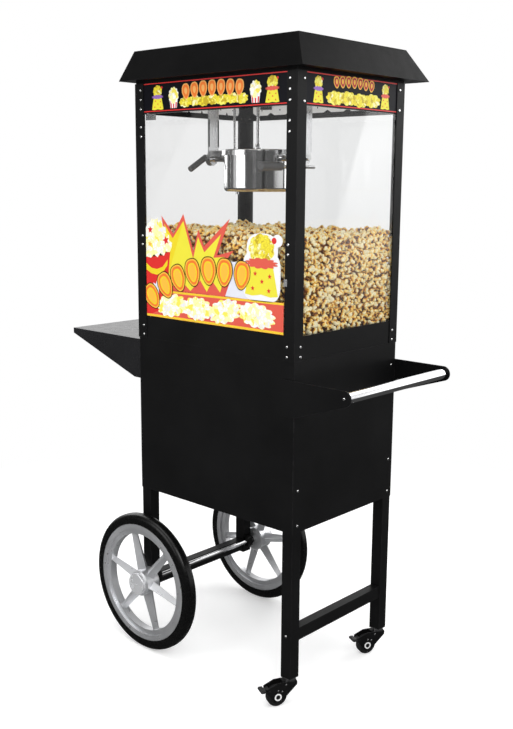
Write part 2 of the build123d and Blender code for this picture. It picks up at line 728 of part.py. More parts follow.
def kettle_pot():
    """Round pot with a rolled-out flange, a drain screw and a trunnion on each side."""
    inside = POT_RADIUS - POT_WALL
    height = POT_RIM - POT_BOTTOM
    section = Pos(POT_RADIUS / 2, POT_BOTTOM + height / 2) * Rectangle(POT_RADIUS, height)
    section = fillet(section.vertices().group_by(Axis.X)[-1].group_by(Axis.Y)[0], 9)
    section += Pos(FLANGE_RADIUS / 2, POT_RIM + 1.5) * Rectangle(FLANGE_RADIUS, 3)
    pot = turned_pot(section)
    for sign in (-1, 1):
        boss = bar_x(sorted((sign * (inside + 1.5), sign * (POT_RADIUS + 9))), KETTLE_Y, TILT_Z, 7)
        pin = sorted((sign * (POT_RADIUS + 9), sign * (HANGER_X + 12)))
        pot += boss + bar_x(pin, KETTLE_Y, TILT_Z, TRUNNION_RADIUS)
    pot += bar_z(-44, KETTLE_Y - 26, (POT_BOTTOM - 7, POT_BOTTOM + 1), 4)
    hollow = Pos(inside / 2, POT_BOTTOM + POT_WALL + height / 2) * Rectangle(inside, height)
    hollow = fillet(hollow.vertices().group_by(Axis.X)[-1].group_by(Axis.Y)[0], 6)
    return pot - turned_pot(hollow)


BRIDGE_HUB = 11


def kettle_bridge():
    """Bar across the flange that carries the stirrer's upper bearing."""
    length = FLANGE_RADIUS - 4
    bridge = block((-length, length), (KETTLE_Y - 8, KETTLE_Y + 8), (FLANGE_TOP, LID_TOP))
    bridge -= block((-length + 12, length - 12), (KETTLE_Y - 6, KETTLE_Y + 6), (FLANGE_TOP - 1, LID_TOP - 3))
    bridge += bar_z(0, KETTLE_Y, (FLANGE_TOP, SHAFT_LOW - 1), BRIDGE_HUB)
    return bridge - bar_z(0, KETTLE_Y, (FLANGE_TOP - 1, SHAFT_LOW), SHAFT_RADIUS + RUNNING)


LID_GAP = 10
LID_RADIUS = 87
LID_HUB = 16
RIM_START = 12


def kettle_lid(sign):
    """Half-round lid flap with a turned-down rim and a rolled hinge edge beside the bridge."""
    low = FLANGE_TOP + 0.4
    lid = bar_z(0, KETTLE_Y, (low, LID_TOP), LID_RADIUS)
    lid = fillet(lid.edges().group_by(Axis.Z)[-1], 3)
    lid -= bar_z(0, KETTLE_Y, (low - 1, LID_TOP - SHEET), LID_RADIUS - 4)
    edge = KETTLE_Y + sign * LID_GAP
    lid &= block((-100, 100), sorted((edge, edge + sign * 100)), (low - 2, LID_TOP + 2))
    lid -= block((-100, 100), sorted((edge - sign, edge + sign * RIM_START)), (low - 1, LID_TOP - SHEET))
    lid += bar_x((-80, 80), edge, LID_TOP - SHEET, SHEET)
    return lid - bar_z(0, KETTLE_Y, (low - 1, LID_TOP + 1), LID_HUB)


def agitator():
    """Stirrer: a shaft with a flat tang on top and two swept blades near the pot floor."""
    low = POT_BOTTOM + 5
    shaft = bar_z(0, KETTLE_Y, (low, SHAFT_LOW + 4.5), SHAFT_RADIUS)
    flats = [block(sorted((sign * 1.5, sign * 6)), (KETTLE_Y - 6, KETTLE_Y + 6),
                   (SHAFT_LOW - 0.8, SHAFT_LOW + 6)) for sign in (-1, 1)]
    stirrer = shaft - flats
    for turn in (0, 180):
        blade = Pos(36, 0, low + 4) * Rot(25, 0, 0) * Box(66, 3, 9)
        stirrer += Pos(0, KETTLE_Y, 0) * Rot(0, 0, turn) * blade
    return stirrer


HANDLE_SIDE_X = 105
HANDLE_BAR_Z = 1257
LEVER_X = -172
LEVER_ANGLE = radians(29.5)


def lever_point(along):
    """Point on the left lever's centre line, as Y and Z, measured from beside its hub."""
    return (-24 - along * cos(LEVER_ANGLE), 1292 - along * sin(LEVER_ANGLE))


def lever_bar(low, high, radius):
    """Round bar along the left lever's line."""
    y, z = lever_point((low + high) / 2)
    turn = 90 - LEVER_ANGLE * 180 / pi
    return Pos(LEVER_X, y, z) * Rot(-turn, 0, 0) * Cylinder(radius, high - low)


def tilt_handle():
    """Handle bar on the right trunnion and a shorter lever on the left one."""
    right = block((HANDLE_SIDE_X - 3, HANDLE_SIDE_X + 3), (KETTLE_Y - 10, KETTLE_Y + 10),
                  (HANDLE_BAR_Z - 6, TILT_Z + 10))
    right += bar_y(HANDLE_SIDE_X, (-82, 51), HANDLE_BAR_Z, 4)
    right -= bar_x((HANDLE_SIDE_X - 9, HANDLE_SIDE_X + 9), KETTLE_Y, TILT_Z, TRUNNION_RADIUS)
    left = bar_x((LEVER_X + 8, LEVER_X + 17.5), KETTLE_Y, TILT_Z, 16)
    left += bar_x((LEVER_X, LEVER_X + 10), *lever_point(12), 5)
    left += lever_bar(-4, 30, 3.5)
    left -= bar_x((LEVER_X + 7, LEVER_X + 18), KETTLE_Y, TILT_Z, TRUNNION_RADIUS)
    return gathered([right, left])


def handle_grips():
    """Plastic grips of the two handles."""
    right = bar_y(HANDLE_SIDE_X, (-143, -70), HANDLE_BAR_Z, 10)
    right = fillet(right.edges(), 2) - bar_y(HANDLE_SIDE_X, (-82, 0), HANDLE_BAR_Z, 4)
    left = fillet(lever_bar(20, 85, 7.5).edges(), 2) - lever_bar(0, 30, 3.5)
    return gathered([right, left])


def kettle_hangers():
    """Two straps from the ceiling, each with a round eye for a trunnion."""
    half = HANGER_WIDTH / 2
    x = (HANGER_X, HANGER_X + 3)
    strap = block(x, (KETTLE_Y - half, KETTLE_Y + half), (TILT_Z + 14, CEILING))
    strap += bar_x(x, KETTLE_Y, TILT_Z, 14)
    strap += block(x, (KETTLE_Y - 14, KETTLE_Y + 14), (TILT_Z, TILT_Z + 16))
    strap += block((HANGER_X, HANGER_X + 22), (KETTLE_Y - half, KETTLE_Y + half), (CEILING - 3, CEILING))
    strap -= bar_x((HANGER_X - 1, HANGER_X + 4), KETTLE_Y, TILT_Z, TRUNNION_RADIUS + RUNNING)
    return mirrored(strap, Plane.YZ)


CONDUIT = (-118, 6)


def heater_conduit():
    """Rigid conduit for the heater's wires, ending in a terminal box on the left hanger."""
    box = block((-HANGER_X, -108), (-22, 20), (TILT_Z - 6, 1298))
    box = fillet(box.edges().filter_by(Axis.X), 3)
    return box + bar_z(CONDUIT[0], CONDUIT[1], (1290, CEILING), 3.5)


def lamp_holder():
    return bar_z(LAMP[0], LAMP[1], (CEILING - 32, CEILING), 16)


def lamp_bulb():
    x, y = LAMP
    bulb = Pos(x, y, CEILING - 60) * Sphere(23)
    return bulb + bar_z(x, y, (CEILING - 50, CEILING - 32), 12)


# ---- every sub-part, by name

def sub_parts():
    parts = {
        "cart_legs": cart_legs(),
        "cart_crossbars": cart_crossbars(),
        "wheel_axle": wheel_axle(),
        "cart_front_panel": cart_front_panel(),
        "cart_side_panels": cart_side_panels(),
        "cart_floor": cart_floor(),
        "cart_deck": cart_deck(),
        "cart_door_pins": cart_door_pins(),
        "cart_door": cart_door(),
        "cart_door_knob": cart_door_knob(),
        "side_shelf": side_shelf(),
        "handle_arms": handle_arms(),
        "push_handle": push_handle(),
        "cart_screws": cart_screws(),
        "caster_stems": caster_stems(),
        "corner_posts": corner_posts(),
        "base_frame": base_frame(),
        "floor_pan": floor_pan(),
        "kernel_drawer": kernel_drawer(),
        "side_panes": side_panes(),
        "rear_pane": rear_pane(),
        "front_door": front_door(),
        "door_pivots": door_pivots(),
        "door_catch": door_catch(),
        "front_sign": front_sign(),
        "side_signs": side_signs(),
        "control_panel": control_panel(),
        "power_inlet": power_inlet(),
        "ceiling_panel": ceiling_panel(),
        "roof": roof(),
        "machine_screws": machine_screws(),
        "gear_motor": gear_motor(),
        "drive_quill": drive_quill(),
        "drive_shaft": drive_shaft(),
        "kettle_hangers": kettle_hangers(),
        "kettle_pot": kettle_pot(),
        "kettle_bridge": kettle_bridge(),
        "lid_front": kettle_lid(-1),
        "lid_rear": kettle_lid(1),
        "agitator": agitator(),
        "tilt_handle": tilt_handle(),
        "handle_grips": handle_grips(),
        "heater_conduit": heater_conduit(),
        "lamp_holder": lamp_holder(),
        "lamp_bulb": lamp_bulb(),
    }
    for name, sign in (("front", -1), ("rear", 1)):
        parts[name + "_wheel"] = on_axle(big_wheel(), sign)
        parts[name + "_tyre"] = on_axle(big_tyre(), sign)
        parts[name + "_hub_cap"] = on_axle(hub_cap(), sign)
        parts[name + "_caster_fork"] = on_caster(caster_fork(), sign)
        parts[name + "_caster_wheel"] = on_caster(caster_wheel(), sign)
        parts[name + "_caster_brake"] = on_caster(caster_brake(), sign)
    for name, x in SWITCH_X.items():
        parts[name] = rocker(x)
    return parts


os.makedirs("parts", exist_ok=True)
for node, shape in sub_parts().items():
    export_step(place(shape), f"parts/{node}.step")
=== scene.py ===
"""Looks of the popcorn machine on its cart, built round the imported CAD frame.

Metres, in the CAD's own frame: X runs along the front towards the push handle, Y backwards, Z up.
Panel artwork is drawn in millimetres measured from the middle of the cabinet.
"""
import math
import bmesh
import bpy
import numpy as np
from mathutils import Matrix, Vector


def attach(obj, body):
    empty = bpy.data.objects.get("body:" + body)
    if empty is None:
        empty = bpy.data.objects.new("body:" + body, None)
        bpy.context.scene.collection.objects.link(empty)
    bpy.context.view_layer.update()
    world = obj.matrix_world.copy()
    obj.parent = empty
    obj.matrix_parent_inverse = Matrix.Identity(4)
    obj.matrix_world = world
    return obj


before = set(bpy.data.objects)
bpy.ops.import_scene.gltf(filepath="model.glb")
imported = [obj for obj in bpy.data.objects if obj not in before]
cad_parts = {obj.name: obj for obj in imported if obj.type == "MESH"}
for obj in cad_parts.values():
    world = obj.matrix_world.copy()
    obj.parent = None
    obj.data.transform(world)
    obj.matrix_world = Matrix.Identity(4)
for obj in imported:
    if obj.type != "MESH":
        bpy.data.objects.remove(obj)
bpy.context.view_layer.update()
scene = bpy.context.scene
rng = np.random.default_rng(8)

MIDDLE_X = 0.06      # the cabinet's middle, in the CAD frame
SKIN_X, SKIN_Y = 0.258, 0.196    # outside of the header and plinth sheets
MM = 0.001
EYE = Vector((1.6723, -1.8054, 1.2238))    # where the camera stands
SIGN_LOW, SIGN_HIGH = 1383.6, 1453    # height range of the header artwork, in millimetres


# ---- node helpers

def fresh(name):
    material = bpy.data.materials.new(name)
    material.use_nodes = True
    material.node_tree.nodes.clear()
    return material, material.node_tree


def add(tree, kind, inputs=(), out=0, **settings):
    """Adds a shader node and returns one of its outputs."""
    node = tree.nodes.new("ShaderNode" + kind)
    for key, value in settings.items():
        setattr(node, key, value)
    for key, value in dict(inputs).items():
        if isinstance(value, bpy.types.NodeSocket):
            tree.links.new(value, node.inputs[key])
        else:
            node.inputs[key].default_value = value
    return node.outputs[out]


def noise(tree, scale, detail=2.0, rough=0.5, stretch=None):
    where = add(tree, "TexCoord", out="Object")
    if stretch:
        where = add(tree, "Mapping", {"Vector": where, "Scale": stretch})
    return add(tree, "TexNoise", {"Vector": where, "Scale": scale, "Detail": detail, "Roughness": rough})


def spread(tree, value, low, high, to_low=0.0, to_high=1.0):
    return add(tree, "MapRange", {"Value": value, "From Min": low, "From Max": high,
                                  "To Min": to_low, "To Max": to_high})


def product(tree, a, b):
    return add(tree, "Math", {0: a, 1: b}, operation="MULTIPLY")


def mix(tree, factor, a, b):
    return add(tree, "Mix", {0: factor, 6: a, 7: b}, out=2, data_type="RGBA")


def ramp(tree, value, stops):
    """Colour ramp; stops are (position, colour)."""
    out = add(tree, "ValToRGB", {0: value})
    line = out.node.color_ramp
    line.elements[0].position, line.elements[0].color = stops[0]
    line.elements[1].position, line.elements[1].color = stops[-1]
    for position, colour in stops[1:-1]:
        line.elements.new(position).color = colour
    return out


def bump(tree, height, distance, strength=1.0):
    return add(tree, "Bump", {"Height": height, "Distance": distance, "Strength": strength})


def edge_mask(tree, radius):
    """1 on edges of about this radius and 0 on the flats."""
    rounded = add(tree, "Bevel", {"Radius": radius}, samples=4)
    flat = add(tree, "NewGeometry", out="Normal")
    facing = add(tree, "VectorMath", {0: rounded, 1: flat}, out="Value", operation="DOT_PRODUCT")
    return spread(tree, facing, 0.985, 0.82)


def rgb(r, g, b):
    return (r, g, b, 1.0)


def shaded(colour, factor):
    return rgb(*[min(1.0, c * factor) for c in colour[:3]])


def principled(tree, inputs):
    shader = add(tree, "BsdfPrincipled", inputs)
    add_output(tree, shader)


def add_output(tree, shader):
    tree.links.new(shader, tree.nodes.new("ShaderNodeOutputMaterial").inputs["Surface"])


# ---- materials

def painted(name, tone, rough, specular, peel=0.00006, edge_wear_and_highlight_tone=None, flake=0.0, glow=0.0):
    """Powder-coated sheet: orange peel, faint haze and slightly rubbed edges. The edge tone is wear, and
    where it is lighter, as on the silver wheels, also a painted highlight; glow is painted light from the
    sheet itself.
    """
    material, tree = fresh(name)
    cloud = spread(tree, noise(tree, 6, 4), 0.35, 0.7)
    # Edges mix towards the edge tone: rubbed wear, and on the silver finishes, where that tone is lighter, a
    # painted highlight on the ridges.
    edge_wear_and_highlight = product(tree, edge_mask(tree, 0.0015), spread(tree, noise(tree, 70, 3), 0.4, 0.65, 0.1, 0.9))
    colour = mix(tree, cloud, tone, shaded(tone, 1.5))
    colour = mix(tree, edge_wear_and_highlight, colour, edge_wear_and_highlight_tone or shaded(tone, 6))
    haze = spread(tree, noise(tree, 45, 6, 0.7), 0.3, 0.75, rough - 0.06, rough + 0.07)
    # glow makes the sheet emit its own tone: painted light, not a lamp.
    principled(tree, {"Base Color": colour, "Roughness": haze, "Specular IOR Level": specular,
                      "Metallic": flake, "Emission Color": tone, "Emission Strength": glow,
                      "Normal": bump(tree, noise(tree, 900, 2), peel)})
    return material


def metal(name, tone, rough, stretch, depth=0.00004, stain=0.12):
    """Steel with a grain; stretch gives the grain's frequency along X, Y and Z."""
    material, tree = fresh(name)
    grain = noise(tree, 1, 5, 0.6, stretch)
    patch = spread(tree, noise(tree, 9, 4), 0.3, 0.75)
    colour = mix(tree, patch, tone, shaded(tone, 1 - stain))
    finish = spread(tree, grain, 0.3, 0.7, max(0.03, rough - 0.06), rough + 0.08)
    principled(tree, {"Base Color": colour, "Metallic": 1.0, "Roughness": finish,
                      "Normal": bump(tree, grain, depth)})
    return material


def plastic(name, tone, rough, specular=0.5, grain=500, depth=0.00005):
    """Moulded plastic or rubber with a fine texture and scuffed high spots."""
    material, tree = fresh(name)
    cloud = spread(tree, noise(tree, 14, 4), 0.35, 0.7)
    scuff = spread(tree, noise(tree, 160, 5, 0.75), 0.55, 0.8, 0, 0.6)
    colour = mix(tree, cloud, tone, shaded(tone, 0.86))
    colour = mix(tree, scuff, colour, shaded(tone, 1.18))
    haze = spread(tree, noise(tree, 80, 4), 0.3, 0.7, rough - 0.05, rough + 0.06)
    principled(tree, {"Base Color": colour, "Roughness": haze, "Specular IOR Level": specular,
                      "Normal": bump(tree, noise(tree, grain, 2), depth)})
    return material


def glass(name, tint):
    """Thin clear glass: each face tints a little and mirrors more at a slant, with faint wipe marks."""
    material, tree = fresh(name)
    wipe = spread(tree, noise(tree, 1, 4, 0.6, (9, 9, 2.5)), 0.45, 0.8, 0.0, 0.05)
    clear = add(tree, "BsdfTransparent", {"Color": mix(tree, wipe, tint, shaded(tint, 0.9))})
    mirror = add(tree, "BsdfGlossy", {"Roughness": spread(tree, wipe, 0, 0.05, 0.01, 0.06)})
    slant = add(tree, "LayerWeight", {"Blend": 0.5}, out="Facing")
    slant = add(tree, "Math", {0: slant, 1: 5.0}, operation="POWER")
    factor = spread(tree, slant, 0, 1, 0.035, 1.0)
    add_output(tree, add(tree, "MixShader", {0: factor, 1: clear, 2: mirror}))
    return material


def ink(name, tone, rough=0.34, fade=0.9, gloss=0.35):
    """Printed vinyl: solid ink with a very fine screen and slight fading."""
    material, tree = fresh(name)
    screen = spread(tree, noise(tree, 1300, 1), 0.3, 0.7, 0, 0.5)
    worn = spread(tree, noise(tree, 25, 4), 0.35, 0.75)
    colour = mix(tree, screen, tone, shaded(tone, fade))
    colour = mix(tree, worn, colour, shaded(tone, 0.5 + fade / 2))
    principled(tree, {"Base Color": colour, "Roughness": rough, "Specular IOR Level": gloss,
                      "Normal": bump(tree, noise(tree, 300, 2), 0.00002)})
    return material


def corn_print(name, stops, scale):
    """Printed heap of popcorn: cells of a few light tones with darker seams."""
    material, tree = fresh(name)
    where = add(tree, "TexCoord", out="Object")
    bend = add(tree, "TexNoise", {"Vector": where, "Scale": scale * 0.8}, out="Color")
    where = add(tree, "Mix", {0: 0.02, 4: where, 5: bend}, out=1, data_type="VECTOR")
    cell = add(tree, "TexVoronoi", {"Vector": where, "Scale": scale}, out="Color")
    pick = add(tree, "SeparateColor", {0: cell}, out=0)
    tone = ramp(tree, pick, stops)
    tone.node.color_ramp.interpolation = "CONSTANT"
    seam = add(tree, "TexVoronoi", {"Vector": where, "Scale": scale}, feature="DISTANCE_TO_EDGE")
    tone = mix(tree, spread(tree, seam, 0.02, 0.12, 0.5, 0), tone, stops[0][1])
    principled(tree, {"Base Color": tone, "Roughness": 0.34, "Specular IOR Level": 0.35})
    return material


def popcorn_material():
    """Popped corn: cream lobes, golden flanks and brown hulls down in the folds, with the folds also darkened
    as painted shade.
    """
    material, tree = fresh("popcorn")
    hull_and_shade = add(tree, "Attribute", out="Fac", attribute_name="hull_and_shade")
    batch = add(tree, "Attribute", out="Fac", attribute_name="batch")
    speck = spread(tree, noise(tree, 260, 4, 0.65), 0.3, 0.72, -0.22, 0.22)
    level = add(tree, "Math", {0: add(tree, "Math", {0: hull_and_shade, 1: speck}), 1: batch})
    # The near-black brown at the bottom of the ramp is painted shade in the folds, over the hulls' own brown.
    tone = ramp(tree, level, [(0.0, rgb(0.10, 0.03, 0.004)), (0.18, rgb(0.30, 0.10, 0.014)),
                              (0.36, rgb(0.82, 0.36, 0.035)), (0.56, rgb(0.99, 0.60, 0.11)),
                              (0.80, rgb(1.0, 0.80, 0.30)), (1.0, rgb(1.0, 0.92, 0.62))])
    principled(tree, {"Base Color": tone, "Roughness": 0.55, "Specular IOR Level": 0.35,
                      "Normal": bump(tree, noise(tree, 700, 4), 0.0004)})
    return material


BLACK = painted("black_powder_coat", rgb(0.0048, 0.0048, 0.0050), 0.38, 0.12)
BLACK_ROOF = painted("black_roof_coat", rgb(0.0034, 0.0034, 0.0035), 0.40, 0.05)
SHELF_BLACK = painted("shelf_coat", rgb(0.010, 0.010, 0.011), 0.24, 0.5)
# The white liner glows a little: painted light on a sheet that is no lamp.
WHITE_LINER = painted("white_liner", rgb(0.80, 0.80, 0.80), 0.35, 0.5, edge_wear_and_highlight_tone=rgb(0.6, 0.6, 0.6), glow=0.3)
SATIN_STEEL = metal("satin_steel", rgb(0.72, 0.72, 0.72), 0.26, (420, 12, 420))
HANGER_STEEL = metal("hanger_steel", rgb(0.80, 0.80, 0.81), 0.22, (300, 300, 14))
KETTLE_STEEL = metal("polished_kettle", rgb(0.82, 0.82, 0.82), 0.10, (14, 14, 700), 0.00002)
LID_STEEL = metal("polished_lid", rgb(0.80, 0.80, 0.80), 0.14, (300, 14, 14), 0.00002)
ZINC = metal("bright_zinc", rgb(0.78, 0.78, 0.79), 0.18, (400, 400, 400), 0.00003)
SCREW = metal("screw_heads", rgb(0.92, 0.92, 0.92), 0.16, (200, 200, 200), 0.00002, 0.04)
CHROME = metal("chrome_tube", rgb(0.88, 0.88, 0.89), 0.07, (120, 9, 120), 0.00001, 0.05)
# The silver finishes take an edge tone a little lighter than their body: a painted highlight along the
# ridges, besides wear.
SILVER = painted("silver_wheel_paint", rgb(0.58, 0.585, 0.60), 0.32, 0.5, 0.00003,
                 rgb(0.62, 0.625, 0.64), 0.75)
SILVER_CAP = painted("silver_cap_paint", rgb(0.60, 0.605, 0.62), 0.26, 0.5, 0.00003,
                     rgb(0.64, 0.645, 0.66), 0.55)
TYRE = plastic("tyre_rubber", rgb(0.0035, 0.0035, 0.0035), 0.26, 0.28, 350, 0.00008)
CASTER_BLACK = plastic("caster_tread", rgb(0.012, 0.012, 0.012), 0.35, 0.5)
CASTER_RING = plastic("caster_dust_ring", rgb(0.75, 0.75, 0.75), 0.35)
BLACK_PLASTIC = plastic("black_moulding", rgb(0.014, 0.014, 0.014), 0.38, 0.4)
GRIP = plastic("grip_moulding", rgb(0.10, 0.10, 0.10), 0.5, 0.4, 260, 0.00015)
MOTOR = painted("motor_enamel", rgb(0.20, 0.21, 0.22), 0.4, 0.4)
# The side and rear panes are tinted darker than the door pane: painted shade on the view through them.
PANE = glass("clear_pane", rgb(0.962, 0.964, 0.964))
DOOR_PANE = glass("door_pane", rgb(0.986, 0.986, 0.986))
BULB = glass("bulb_glass", rgb(0.99, 0.98, 0.95))
POPCORN = popcorn_material()
CORN_WHITE = corn_print("printed_corn", [(0.0, rgb(0.93, 0.80, 0.10)), (0.16, rgb(0.96, 0.93, 0.45)),
                        (0.42, rgb(0.93, 0.93, 0.90)), (0.72, rgb(0.80, 0.80, 0.84)),
                        (0.84, rgb(0.97, 0.97, 0.93))], 95)
CORN_YELLOW = corn_print("printed_yellow_corn", [(0.0, rgb(0.55, 0.40, 0.01)), (0.15, rgb(0.84, 0.72, 0.03)),
                         (0.6, rgb(0.90, 0.84, 0.14)), (0.85, rgb(0.92, 0.90, 0.50))], 120)
INKS = {
    "red": ink("ink_red", rgb(0.72, 0.022, 0.018)),
    "coral": ink("ink_coral", rgb(0.74, 0.10, 0.065)),
    "deep": ink("ink_deep_red", rgb(0.50, 0.01, 0.01)),
    "yellow": ink("ink_yellow", rgb(0.84, 0.66, 0.012)),
    "lemon": ink("ink_lemon", rgb(0.84, 0.76, 0.04)),
    "gold": ink("ink_gold", rgb(0.92, 0.50, 0.045)),
    "orange": ink("ink_orange", rgb(0.88, 0.20, 0.02)),
    "tan": ink("ink_tan", rgb(0.90, 0.45, 0.12)),
    "white": ink("ink_white", rgb(0.88, 0.88, 0.90)),
    "lilac": ink("ink_lilac", rgb(0.76, 0.77, 0.86)),
    "violet": ink("ink_violet", rgb(0.30, 0.14, 0.50)),
    "black": ink("ink_black", rgb(0.004, 0.004, 0.007), gloss=0.1),
    "corn": CORN_WHITE,
    "yellow_corn": CORN_YELLOW,
}

FINISHES = {
    BLACK: ["cart_legs", "cart_crossbars", "cart_front_panel", "cart_side_panels", "cart_floor", "cart_deck",
            "cart_door", "handle_arms", "corner_posts", "front_caster_fork", "rear_caster_fork", "base_frame",
            "control_panel", "side_signs", "front_sign", "kernel_drawer"],
    BLACK_ROOF: ["roof"],
    SHELF_BLACK: ["side_shelf"],
    ZINC: ["wheel_axle", "cart_door_pins", "caster_stems", "door_pivots", "door_catch"],
    SCREW: ["machine_screws", "cart_screws"],
    CHROME: ["push_handle"],
    SILVER: ["front_wheel", "rear_wheel"],
    SILVER_CAP: ["front_hub_cap", "rear_hub_cap"],
    TYRE: ["front_tyre", "rear_tyre"],
    CASTER_BLACK: ["front_caster_wheel", "rear_caster_wheel"],
    BLACK_PLASTIC: ["front_caster_brake", "rear_caster_brake", "cart_door_knob", "power_inlet", "heat_switch",
                    "motor_switch", "light_switch", "lamp_holder"],
    SATIN_STEEL: ["floor_pan", "ceiling_panel", "drive_quill", "drive_shaft", "tilt_handle",
                  "heater_conduit"],
    HANGER_STEEL: ["kettle_hangers"],
    KETTLE_STEEL: ["kettle_pot", "agitator"],
    LID_STEEL: ["kettle_bridge", "lid_front", "lid_rear"],
    GRIP: ["handle_grips"],
    PANE: ["side_panes", "rear_pane"],
    DOOR_PANE: ["front_door"],
    BULB: ["lamp_bulb"],
    MOTOR: ["gear_motor"],
}
for finish, names in FINISHES.items():
    for name in names:
        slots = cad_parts[name].material_slots
        for index in range(len(slots)):
            slots[index].material = finish


# ---- mesh helpers

def piece(name, body, vertices, faces, materials, picks=None, smooth=False):
    """Makes a piece from vertex and face lists and rides it on a CAD body."""
    mesh = bpy.data.meshes.new(name)
    mesh.from_pydata(vertices, [], faces)
    for material in materials:
        mesh.materials.append(material)
    if picks is not None:
        mesh.polygons.foreach_set("material_index", picks)
    mesh.polygons.foreach_set("use_smooth", [smooth] * len(mesh.polygons))
    mesh.update()
    made = bpy.data.objects.new(name, mesh)
    scene.collection.objects.link(made)
    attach(made, body)
    return made


# ---- printed panels

class Panel:
    """Flat printed shapes stacked outwards from a panel, each one a thin solid."""
    LAYER = 0.00008

    def __init__(self, name, body, origin, right, out):
        self.name, self.body = name, body
        self.origin, self.right, self.out = Vector(origin), Vector(right), Vector(out)
        self.vertices, self.faces, self.picks, self.inks = [], [], [], []

    def point(self, a, z, depth):
        return self.origin + self.right * (a * MM) + Vector((0, 0, z * MM)) + self.out * depth

    def shape(self, points, colour, layer):
        """Adds one outline of (along, height) points in millimetres, in one ink."""
        area = sum(p[0] * q[1] - q[0] * p[1] for p, q in zip(points, points[1:] + points[:1]))
        turn = self.right.cross(Vector((0, 0, 1))).dot(self.out)
        if area * turn < 0:
            points = points[::-1]
        if colour not in self.inks:
            self.inks.append(colour)
        pick = self.inks.index(colour)
        first, count = len(self.vertices), len(points)
        for depth in (layer * self.LAYER, (layer + 0.9) * self.LAYER):
            self.vertices += [self.point(a, z, depth) for a, z in points]
        self.faces.append([first + count + i for i in range(count)])
        self.faces.append([first + i for i in reversed(range(count))])
        for i in range(count):
            j = (i + 1) % count
            self.faces.append([first + i, first + j, first + count + j, first + count + i])
        self.picks += [pick] * (count + 2)

    def build(self):
        return piece(self.name, self.body, self.vertices, self.faces,
                     [INKS[colour] for colour in self.inks], self.picks)


def ring(cx, cy, rx, ry, count=40, bumps=0, depth=0.0, turn=0.0, squareness=2.0):
    """Closed outline: ellipse or rounded square, with optional scallops and a turn in degrees."""
    points = []
    w = math.radians(turn)
    for i in range(count):
        t = 2 * math.pi * i / count
        c, s = math.cos(t), math.sin(t)
        swell = 1 + depth * abs(math.sin(bumps * t / 2)) if bumps else 1
        x = rx * swell * math.copysign(abs(c) ** (2 / squareness), c)
        y = ry * swell * math.copysign(abs(s) ** (2 / squareness), s)
        points.append((cx + x * math.cos(w) - y * math.sin(w), cy + x * math.sin(w) + y * math.cos(w)))
    return points


def star(cx, cy, radius, spikes=5, inner=0.45, turn=0.0):
    """Star outline; inner is the notch radius as a share of the spike radius."""
    points = []
    for i in range(2 * spikes):
        r = radius * (inner if i % 2 else 1)
        t = math.pi * i / spikes + math.pi / 2 + math.radians(turn)
        points.append((cx + r * math.cos(t), cy + r * math.sin(t)))
    return points


def kernel_outline(cx, cy, wide, high, turn, grow=0.0):
    """Tooth-shaped kernel of corn, broad on top and pointed below."""
    points = []
    count = 36
    w = math.radians(turn)
    for i in range(count):
        t = 2 * math.pi * i / count
        x, y = math.cos(t), math.sin(t)
        taper = 1.0 if y > 0 else 1.0 + 0.42 * y
        px = (wide / 2 + grow) * math.copysign(abs(x) ** 0.75, x) * taper
        py = (high / 2 + grow) * math.copysign(abs(y) ** 0.8, y)
        points.append((cx + px * math.cos(w) - py * math.sin(w), cy + px * math.sin(w) + py * math.cos(w)))
    return points


def carton(panel, cx, low, high, wide, layer, corn="corn"):
    """Striped popcorn carton with a heap on top."""
    rim = low + (high - low) * 0.62
    foot, head = wide * 0.36, wide * 0.5
    panel.shape([(cx - foot, low), (cx + foot, low), (cx + head, rim), (cx - head, rim)], "white", layer)
    for i in (-1, 0, 1):
        b, t = foot * i * 0.72, head * i * 0.72
        panel.shape([(cx + b - foot * 0.17, low), (cx + b + foot * 0.17, low),
                     (cx + t + head * 0.17, rim), (cx + t - head * 0.17, rim)], "red", layer + 1)
    panel.shape(ring(cx, rim + 1, head * 1.02, (high - rim), 44, 11, 0.16), corn, layer + 2)


def tub(panel, cx, low, high, wide, layer, ruffle):
    """Spotted tub of golden popcorn under a paper ruffle; stands where a figure would."""
    tall = high - low
    neck = low + tall * 0.50
    foot, head = wide * 0.48, wide * 0.33
    body = [(cx - foot, low + tall * 0.02), (cx - foot * 0.55, low), (cx, low + tall * 0.03),
            (cx + foot * 0.55, low), (cx + foot, low + tall * 0.02), (cx + head, neck), (cx - head, neck)]
    panel.shape(body, "lemon", layer)
    for a, z in ((-0.25, 0.12), (0.22, 0.10), (0.02, 0.24), (-0.18, 0.36), (0.24, 0.33)):
        panel.shape(star(cx + a * wide, low + z * tall, tall * 0.045), "red", layer + 1)
    panel.shape(ring(cx, neck + tall * 0.26, wide * 0.34, tall * 0.22, 44, 9, 0.12), "yellow_corn", layer + 1)
    panel.shape(ring(cx, neck + tall * 0.03, wide * 0.38, tall * 0.07, 48, 12, 0.3), ruffle, layer + 2)
    panel.shape(ring(cx + wide * 0.36, neck + tall * 0.40, tall * 0.05, tall * 0.05, 20), "red", layer + 3)


